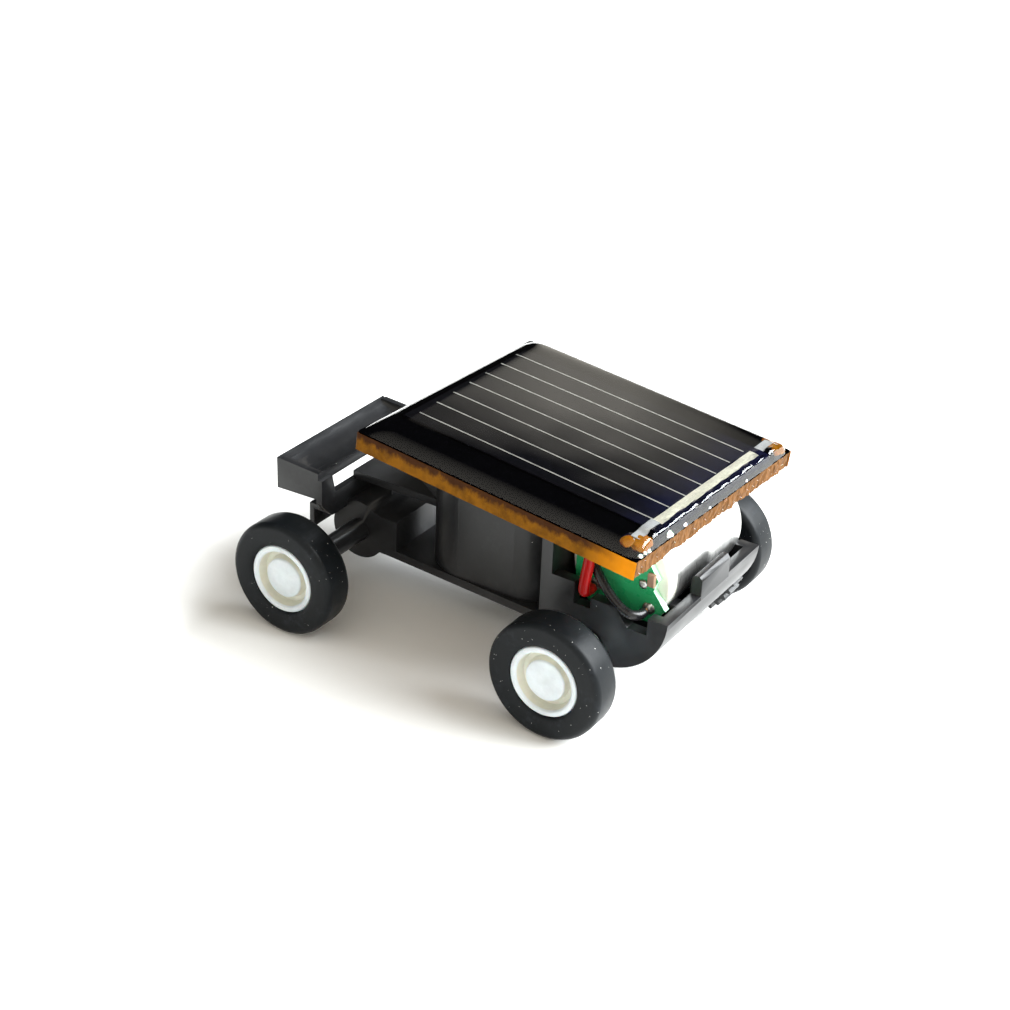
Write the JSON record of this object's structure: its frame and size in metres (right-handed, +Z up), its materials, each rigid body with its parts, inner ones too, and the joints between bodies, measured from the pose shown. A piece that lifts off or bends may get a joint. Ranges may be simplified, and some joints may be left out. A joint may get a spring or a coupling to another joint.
{
  "type": "solar toy car",
  "caption": "Miniature solar toy car: black chassis with a front wing, rubber-tyred wheels, a geared rear motor and a tilted solar panel under clear epoxy.",
  "frame": {"origin": "on the ground, under the middle of the car's outline", "axes": "+X forward, +Y left, +Z up"},
  "size_m": [0.0286, 0.022, 0.015],
  "materials": {
    "black_plastic": "satin",
    "tyre_rubber": "satin",
    "hub_plastic": "satin",
    "steel": "polished",
    "gear_plastic": "satin",
    "brass": "polished",
    "motor_steel": "satin",
    "end_cap_plastic": "satin",
    "ferrite": "matte",
    "lamination_steel": "satin",
    "copper": "polished",
    "green_board": "gloss",
    "chip_ceramic": "matte",
    "solder": "satin",
    "amber_board": "matte",
    "black_mask": "satin",
    "cell_silicon": "gloss",
    "silver_print": "satin",
    "clear_epoxy": "gloss",
    "foam_tape": "matte",
    "red_insulation": "satin",
    "black_insulation": "satin"
  },
  "bodies": {
    "chassis": {"chassis": "black_plastic", "motor_can": "motor_steel", "motor_end_cap": "end_cap_plastic", "motor_bearing": "brass", "motor_magnets": "ferrite", "motor_brushes": "copper", "terminal_board": "green_board", "board_chip": "chip_ceramic", "board_solder": "solder", "panel_board": "amber_board", "panel_mask": "black_mask", "solar_cell": "cell_silicon", "cell_fingers": "silver_print", "cell_busbar": "silver_print", "tab_ribbons": "solder", "terminal_pins": "solder", "epoxy_dome": "clear_epoxy", "panel_pads": "foam_tape", "panel_solder": "solder", "red_lead": "red_insulation", "black_lead": "black_insulation", "lead_cores": "copper"},
    "front_axle_set": {"front_axle": "steel", "front_left_tyre": "tyre_rubber", "front_right_tyre": "tyre_rubber", "front_left_hub": "hub_plastic", "front_right_hub": "hub_plastic"},
    "rear_axle_set": {"rear_axle": "steel", "rear_left_tyre": "tyre_rubber", "rear_right_tyre": "tyre_rubber", "rear_left_hub": "hub_plastic", "rear_right_hub": "hub_plastic", "axle_gear": "gear_plastic"},
    "motor_rotor": {"motor_shaft": "steel", "motor_pinion": "brass", "armature_core": "lamination_steel", "armature_windings": "copper", "commutator": "copper"}
  },
  "joints": [
    {"name": "front_axle_spin", "type": "hinge", "parent": "chassis", "child": "front_axle_set", "pos_m": [0.00982, 0, 0.00377], "axis": [0, 1, 0], "continuous": true},
    {"name": "rear_axle_spin", "type": "hinge", "parent": "chassis", "child": "rear_axle_set", "pos_m": [-0.00908, 0, 0.00377], "axis": [0, 1, 0], "continuous": true},
    {"name": "motor_spin", "type": "hinge", "parent": "chassis", "child": "motor_rotor", "pos_m": [-0.00968, 0, 0.00783], "axis": [0, 1, 0], "continuous": true}
  ],
  "couplings": [
    {"joint": "motor_spin", "follows": "rear_axle_spin", "ratio": -4.125}
  ]
}
